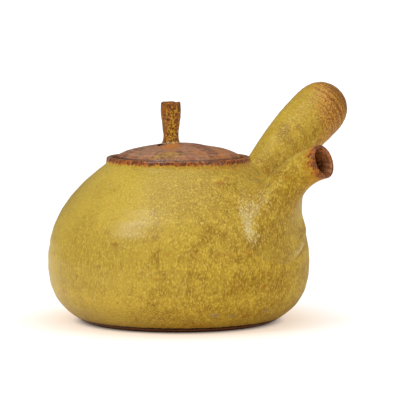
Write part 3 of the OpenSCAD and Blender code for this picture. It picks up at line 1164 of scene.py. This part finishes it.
@dataclass
class Handle(Piece):
    """The hollow thrown handle, luted onto the shoulder."""

    azimuth: float = math.radians(81)
    tilt: float = math.radians(33.1)
    root_z: float = 59.3
    length: float = 71.3
    dome: float = 15.3
    neck_run: float = 14.0
    grip_run: float = 32.0
    dome_run: float = 8.0
    tip_run: float = 10.6
    root_radius: float = 7.4
    grip_radius: float = 13.0
    thickness: float = 3.5
    breather_up: float = 12.0
    breather_radius: float = 1.2
    breather_cut: float = 9.0
    flare: float = 3.5
    tuck: float = 0.3
    sides: int = 96
    throwing: Throwing = Throwing(ridge=0.09, pitch=2.6, wobble=0.12, size=16)

    @cached_property
    def turned(self) -> Matrix:
        """Works out how a handle that stands on the origin goes to its place on the wall.

        Returns:
            The matrix.
        """
        place = Matrix.Translation(WALL.spot(self.root_z, self.azimuth))
        lean = Matrix.Rotation(math.pi / 2 - self.tilt, 4, "Y")
        return place @ Matrix.Rotation(self.azimuth, 4, "Z") @ lean

    @cached_property
    def upright(self) -> Matrix:
        """Matrix that stands the handle on the origin again."""
        return self.turned.inverted()

    def along(self, p: Vector) -> float:
        """Measures how far along the handle a place is."""
        return (self.upright @ p).z

    def meets(self, angle: float, radius: float, off: float) -> float:
        """Finds where a line along the handle comes out of the wall.

        Args:
            angle: Place of the line round the handle.
            radius: Its distance from the handle's axis.
            off: How far outside the wall to look.

        Returns:
            Distance along the handle.
        """
        def is_inside(along: float) -> bool:
            """Tells whether a place on the line is still within the wall."""
            p = self.turned @ Vector((radius * math.cos(angle), radius * math.sin(angle), along))
            return math.hypot(p.x, p.y) < WALL.radius(clamp(p.z, 0.5, 70), off)

        return halve(-16.0, 16.0, is_inside, 24)

    def side(self) -> Line:
        """Draws the handle's outline.

        Returns:
            Points as (radius, distance along the handle, 0), from root to tip.
        """
        grip, tip = self.length - self.dome, self.length
        r0, r1 = self.root_radius, self.grip_radius
        neck = curve(
            ((r0, 0, 0), (r0, self.neck_run, 0), (r1, grip - self.grip_run, 0), (r1, grip, 0)), 48
        )
        dome = curve(
            ((r1, grip, 0), (r1, grip + self.dome_run, 0), (self.tip_run, tip, 0), (0.02, tip, 0)), 30
        )
        return neck + dome[1:]

    def strip(self, angle: float, side: Line) -> Line:
        """Draws the handle's outline at one place round it.

        Args:
            angle: The place.
            side: The handle's outline.

        Returns:
            Points from the tip of the hollow, over the fillet on the wall, to the tip, with the
            handle's axis along Z.
        """
        out = Vector((math.cos(angle), math.sin(angle), 0))
        wide = self.root_radius + self.flare
        away = wide * out + self.meets(angle, wide, -self.tuck) * UP
        corner = self.root_radius * out + self.meets(angle, self.root_radius, 0.2) * UP
        # The shaft runs from the fillet's end to this point of the outline
        first = 12
        low = corner.z + self.flare
        rise = [low + (side[first].y - low) * i / 6 for i in range(7)]
        shaft = [self.root_radius_at(z, side) * out + z * UP for z in rise]
        fillet = bend(away, corner, shaft[0], 10)
        inner = [
            clamp(p.x - self.thickness, 0.02, 99) * out + (p.y - self.thickness * p.y / self.length) * UP
            for p in side[::-3]
        ]
        outer = [p.x * out + p.y * UP for p in side[first:]]
        return inner + [away - 0.5 * UP] + fillet[:-1] + shaft[:-1] + outer

    def root_radius_at(self, z: float, side: Line) -> float:
        """Measures the handle near its root.

        Args:
            z: Distance along the handle.
            side: The handle's outline.

        Returns:
            Its radius there.
        """
        if z <= 0:
            return self.root_radius
        above = next(i for i, p in enumerate(side) if p.y >= z)
        a, b = side[max(above - 1, 0)], side[above]
        return mix(a.x, b.x, (z - a.y) / max(b.y - a.y, 1e-6))

    def build(self) -> None:
        """Lofts, pierces and glazes the handle."""
        side = self.side()
        bm = loft([self.strip(TURN * i / self.sides, side) for i in range(self.sides)])
        bmesh.ops.remove_doubles(bm, verts=bm.verts, dist=0.01)
        tip = self.length - 0.3
        press(bm, lambda p: self.throwing.depth(p) * clamp((p.z - 9) / 6) * clamp((tip - p.z) / 3))
        bmesh.ops.transform(bm, matrix=self.turned, verts=bm.verts)
        bmesh.ops.recalc_face_normals(bm, faces=bm.faces)
        obj = make_object(self.name, bm)
        down = self.turned.to_3x3() @ Vector((1, 0, 0))
        breather = self.turned @ Vector((self.root_radius, 0, self.breather_up))
        self.pierce(obj, breather, down, self.breather_radius, self.breather_cut)
        self.dress(obj, {Mask.TOAST_AND_SHADE: self.toast, Mask.POOL_AND_GLINT: self.pool,
                         Mask.COARSE: self.grain, Mask.TURN: self.along})

    def grain(self, p: Vector) -> float:
        """Paints the grain of the glaze: the wall's at the root, then coarse on the lower right.

        Args:
            p: Place on the handle.

        Returns:
            The weight.
        """
        along = self.along(p)
        off = p - self.turned @ Vector((0, 0, along))
        own = clamp(0.37 + 0.5 * off.dot(0.7 * RIGHT - 0.7 * UP) / self.grip_radius + along / 400)
        return mix(coarse(p), own, clamp((along - 3) / 11))

    def toast(self, p: Vector) -> float:
        """Paints the brown breath of fire on the handle's domed end."""
        return 0.62 * clamp((self.along(p) - 40) / 28) + 0.8 * clamp((p.dot(RIGHT) - 61) / 12)

    def pool(self, p: Vector) -> float:
        """Paints the glaze that pooled round the handle's root."""
        return 0.3 * clamp(1 - WALL.distance(p) / 3)


@dataclass
class Lid(Piece):
    """The domed lid with its air hole."""

    radius: float = 27.9
    brim: float = 26.0
    seat: float = 71.0
    ball: float = 68.9
    crown: float = 80.1
    # Distance from the axis, and height above the ball, of rings where the dome is fuller or flatter
    swells: tuple[tuple[float, float], ...] = ((23.0, 0.3), (13.0, -0.22))
    thickness: float = 3.2
    hollow: float = 24.05
    vent: Vector = at(-4.81, -7.1, 79.5)
    vent_radius: float = 1.2
    vent_cut: float = 12.0
    ash_place: Vector = at(9.5, -22.0, 0)
    rust_place: Vector = at(2, -9, 0)
    steps: int = 224

    def dome(self, r: float, inset: float = 0.0) -> float:
        """Measures the dome's height.

        Args:
            r: Distance from the lid's axis.
            inset: How far inside the dome to measure.

        Returns:
            Height above the table.
        """
        ball = self.ball - inset
        full = sum(height * bell(r - ring, 4) for ring, height in self.swells)
        return self.crown - self.ball + math.sqrt(ball * ball - r * r) + full

    def section(self) -> Line:
        """Draws the lid's section.

        Returns:
            The section, from the crown over the edge to the middle of the hollow.
        """
        def dome(r: float, inset: float = 0.0) -> tuple[float, float, float]:
            """Gives a point of the dome with a sharp corner."""
            return (r, self.dome(r, inset), 0)

        top = [Vector(dome(self.brim * i / 40)) for i in range(41)]
        edge = rounded([
            dome(self.brim), (self.radius, self.dome(self.radius), 1.4), (self.radius, self.seat, 0.5),
            (self.hollow, self.seat, 0.3), dome(self.hollow, self.thickness),
        ])
        under = [Vector(dome(self.hollow * (1 - i / 30), self.thickness)) for i in range(31)]
        return top + edge[1:-1] + under

    def build(self) -> None:
        """Turns, pierces and glazes the lid."""
        bm = lathe(self.section(), self.steps)
        marks = Throwing(ridge=0.05, pitch=2.2, wobble=0.14, size=14, grain=0.04, grain_size=2.6)
        press(bm, lambda p: marks.depth(p) + self.burr(p) if p.z > self.seat + 2 else 0.0)
        obj = make_object(self.name, bm)
        self.pierce(obj, self.vent, UP, self.vent_radius, self.vent_cut)
        self.dress(obj, {Mask.ASH: self.ash, Mask.RUST: self.rust, Mask.BARE_AND_SHADE: self.shaded_edge,
                         Mask.TURN: lambda p: math.hypot(p.x, p.y)})

    def burr(self, p: Vector) -> float:
        """Gives the clay that the piercing tool pushed up on the far side of the air hole.

        Args:
            p: Place on the lid.

        Returns:
            How far the surface stands out there.
        """
        out = Vector((p.x - self.vent.x, p.y - self.vent.y, 0))
        far = -out.dot(NEAR)
        tip = 0.25 if far > 0 else 0.75
        return tip * clamp(far / 1.2, -1, 1) * clamp(1.5 - out.length / 2.4)

    def shaded_edge(self, p: Vector) -> float:
        """Darkens the lid's edge and the mouth of the air hole with painted shade."""
        hole = (p - self.vent).xy.length - self.vent_radius
        return max(0.75 * clamp((p.xy.length - self.radius + 0.8) / 0.6), clamp(1 - hole / 0.8))

    def ash(self, p: Vector) -> float:
        """Paints the thicker greenish glaze by the front of the edge."""
        off = p - self.ash_place
        return 0.62 * clamp(1.25 - math.hypot(off.dot(RIGHT) / 9, off.dot(NEAR) / 5))

    def rust(self, p: Vector) -> float:
        """Paints the rust patch in front of the knob and the lid's right-hand side."""
        patch = clamp(1 - (p - self.rust_place).xy.length / 9)
        return max(patch, 0.45 * clamp(p.dot(RIGHT) / 16))


@dataclass
class Knob(Piece):
    """The tall thrown knob with its dished top."""

    place: Vector = at(-2.75, -2.0, 80.1)
    foot_radius: float = 4.7
    waist_radius: float = 3.45
    waist_up: float = 3.2
    head_radius: float = 4.5
    head_up: float = 14.0
    rim_radius: float = 4.35
    height: float = 18.4
    steps: int = 96

    def section(self) -> Line:
        """Draws the knob's section above the lid's crown.

        Returns:
            The section, from the foot's flare to the middle of the dish.
        """
        waist, top = self.waist_radius, self.height
        middle = (waist, self.waist_up, 0)
        head = (self.head_radius, self.head_up, 0)
        flare = curve(((self.foot_radius, -0.6, 0), (3.7, -0.1, 0), (waist, 1.6, 0), middle), 16)
        stem = curve((middle, (waist, 6.0, 0), (self.rim_radius, 10.0, 0), head), 24)
        dish = rounded([
            head, (self.rim_radius, top, 0.9), (2.8, top - 0.2, 0.5), (1.8, top - 0.9, 0.5),
            (0, top - 1.1, 0),
        ])
        return flare + stem[1:] + dish[1:]

    def build(self) -> None:
        """Turns and glazes the knob."""
        bm = lathe(self.section(), self.steps)
        press(bm, self.pinch)
        bmesh.ops.translate(bm, vec=self.place, verts=bm.verts)
        obj = make_object(self.name, bm)
        self.dress(obj, {Mask.ASH: self.ash, Mask.POOL_AND_GLINT: self.pool, Mask.TURN: lambda p: p.z})

    def pinch(self, p: Vector) -> float:
        """Gives the finger marks on the knob.

        Args:
            p: Place on the knob above the lid's crown.

        Returns:
            How far the surface stands out there.
        """
        if p.z < 1:
            return 0.0
        uneven = 0.3 * noise.noise(p / 6) + 0.15 * noise.noise(p / 2.2)
        if p.z > self.height - 1.2:
            right = p.dot(RIGHT)
            return 1.8 * uneven - 0.05 * right - 0.45 * bell(right - 2.2, 0.9)
        return uneven * clamp((p.z - 1) / 4)

    def ash(self, p: Vector) -> float:
        """Paints the yellow patches of thicker glaze.

        Args:
            p: Place on the knob.

        Returns:
            The weight.
        """
        up = p.z - self.place.z
        out = Vector((p.x - self.place.x, p.y - self.place.y, 0)).normalized()
        front = clamp(out.dot(0.97 * NEAR + 0.25 * RIGHT))
        cap = 0.4 * clamp((up - self.height + 4) / 4)
        return 0.08 + 0.36 * front**1.5 + 0.16 * front * tent(up, 5, 4) - cap

    def pool(self, p: Vector) -> float:
        """Paints the glassy glaze that pooled round the foot."""
        return 0.7 * clamp(1 - (p.z - self.place.z) / 2.0)


@dataclass
class Flange(Piece):
    """The ring under the lid that keeps it in the throat."""

    radius: float = 23.9
    thickness: float = 2.7
    bottom: float = 63.0
    top: float = 73.6
    steps: int = 192

    def build(self) -> None:
        """Turns the flange and leaves it bare."""
        inner = self.radius - self.thickness
        line = rounded([
            (inner, self.top + 0.5, 0), (inner, self.bottom, 0.8), (self.radius, self.bottom, 0.9),
            (self.radius, self.top - 0.6, 0),
        ])
        self.dress(make_object(self.name, lathe(line, self.steps)), {})


@dataclass
class Strainer:
    """The pierced clay dome behind the spout, which keeps the CAD's shape."""

    node: str
    material: bpy.types.Material

    def build(self) -> None:
        """Gives the node its finish."""
        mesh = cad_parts[self.node].data
        mesh.materials.clear()
        mesh.materials.append(self.material)


@dataclass
class Studio:
    """Camera, soft light and a pale floor."""

    azimuth: float = math.radians(36)
    distance: float = 1130.0
    eye: float = 155.0
    aim: Vector = at(7.27, 6.38, 54.1)
    lens: float = 227.1
    lit: Vector = at(0, 0, 40)
    # Name of each soft box, its angles to the left of the camera, above the table and about its own
    # axis in degrees, its distance, width and height in metres and its power in watts
    boxes: tuple[tuple, ...] = (
        ("key", 47, 46, -40, 1.2, 0.25, 0.66, 4.1),
        ("fill", -60, 30, 0, 1.4, 0.9, 0.9, 1.6),
        ("top", -20, 80, 0, 1.3, 1.2, 1.2, 4.6),
    )
    floor_size: float = 6000.0

    def stand(self, obj: bpy.types.Object, place: Vector, target: Vector, roll: float = 0.0) -> None:
        """Stands a camera or light at a place and points it.

        Args:
            obj: The camera or light.
            place: Where it stands, in metres.
            target: What it looks at, in millimetres.
            roll: Angle, in degrees, that it is turned by about the way it looks.
        """
        turn = (target * MM - place).to_track_quat("-Z", "Y").to_matrix().to_4x4()
        rolled = turn @ Matrix.Rotation(math.radians(roll), 4, "Z")
        obj.matrix_world = Matrix.Translation(place) @ rolled

    def camera(self) -> None:
        """Puts the camera where the photo was taken from."""
        data = bpy.data.cameras.new("camera")
        data.lens = self.lens
        obj = add_object("camera", data)
        a = self.azimuth
        place = Vector((self.distance * math.sin(a), -self.distance * math.cos(a), self.eye)) * MM
        self.stand(obj, place, self.aim)
        bpy.context.scene.camera = obj

    def lights(self) -> None:
        """Hangs the soft boxes so that they look at the pot."""
        for name, left, up, roll, far, width, height, power in self.boxes:
            data = bpy.data.lights.new(name, "AREA")
            data.shape = "RECTANGLE"
            data.size = width
            data.size_y = height
            data.energy = power
            a = self.azimuth - math.radians(left)
            e = math.radians(up)
            way = Vector((math.sin(a) * math.cos(e), -math.cos(a) * math.cos(e), math.sin(e)))
            self.stand(add_object(name, data), far * way, self.lit, roll)

    def floor(self) -> None:
        """Lays a pale floor that is white to the camera and keeps the pot's shadow."""
        bm = bmesh.new()
        bmesh.ops.create_grid(bm, x_segments=1, y_segments=1, size=self.floor_size)
        obj = make_object("floor", bm)
        g = ShaderGraph(bpy.data.materials.new("white paper"))
        seen = g.add("ShaderNodeLightPath").outputs["Is Camera Ray"]
        reach = g.add("ShaderNodeVectorMath", {0: g.place}, operation="LENGTH").outputs["Value"]
        # Distances from the foot's middle, in metres, over which the shadow gives way to white
        near = g.band(reach, 0.042, 0.049, 0.55, 0.1)
        clear = g.total(near, (g.band(reach, 0.06, 0.2, 0.45), 1.0))
        share = g.add("ShaderNodeMath", {0: seen, 1: clear}, operation="MULTIPLY").outputs[0]
        sheet = g.coats("#f0e4cc", ("#fbf7f0", seen, 0.0, 1.0, 1.0))
        paper = g.add("ShaderNodeBsdfDiffuse", {"Color": sheet})
        # Warm painted bounce light from the pot on the floor near its foot
        tint = g.coats("#ffe9d4", ("#ffffff", reach, 0.05, 0.085, 1.0))
        glow = g.add("ShaderNodeEmission", {"Color": tint, "Strength": 1.2})
        both = g.add("ShaderNodeMixShader", {0: share, 1: paper.outputs[0], 2: glow.outputs[0]})
        g.add("ShaderNodeOutputMaterial", {"Surface": both.outputs[0]})
        obj.data.materials.append(g.owner)

    def world(self) -> None:
        """Makes the surroundings white to the camera and a soft grey to the pot."""
        world = bpy.data.worlds.new("studio")
        bpy.context.scene.world = world
        g = ShaderGraph(world)
        path = g.add("ShaderNodeLightPath").outputs
        level = g.total(0.76, (path["Is Glossy Ray"], -0.6), (path["Is Camera Ray"], 0.4))
        back = g.add("ShaderNodeBackground", {"Color": linear("#ffffff"), "Strength": level})
        g.add("ShaderNodeOutputWorld", {"Surface": back.outputs[0]})

    def build(self) -> None:
        """Sets up the studio."""
        self.camera()
        self.lights()
        self.floor()
        self.world()
        bpy.context.scene.view_settings.view_transform = "Standard"


def main() -> None:
    """Builds the pieces in order, then the studio."""
    logging.basicConfig(level=logging.INFO)
    ochre = OchreGlaze().build()
    rich = OchreGlaze(
        name="ochre ash glaze, richer on the handle", ground="#aa8b22", cloud="#be9c29"
    ).build()
    iron = IronGlaze().build()
    mottled = IronGlaze(
        name="iron glaze, mottled with ash", ground="#6e3711", sheen="#995718", yellow="#cc961f",
        ash="#c4a730", dark="#241006", pale="#c88f2a", grain=0.55, patch=1.05, stain=0.25, shine=0.3,
        speck=0.8,
    ).build()
    clay = BareClay().build()
    pieces: list[Piece | Strainer] = [
        PotBody("thrown_body", ("pot_body",), Body.POT, Slot.OCHRE, ochre),
        Spout("luted_spout", ("spout",), Body.POT, Slot.OCHRE, ochre),
        Strainer("spout_strainer", clay),
        Handle("luted_handle", ("handle",), Body.POT, Slot.OCHRE, rich),
        Lid("domed_lid", ("lid",), Body.LID, Slot.IRON, iron),
        Flange("lid_ring", ("lid_flange",), Body.LID, Slot.CLAY, clay),
        Knob("pinched_knob", ("lid_knob",), Body.LID, Slot.IRON, mottled),
    ]
    for piece in pieces:
        piece.build()
        LOG.info("built %s", type(piece).__name__)
    Studio().build()
    bpy.context.view_layer.update()


if __name__ == "__main__":
    main()
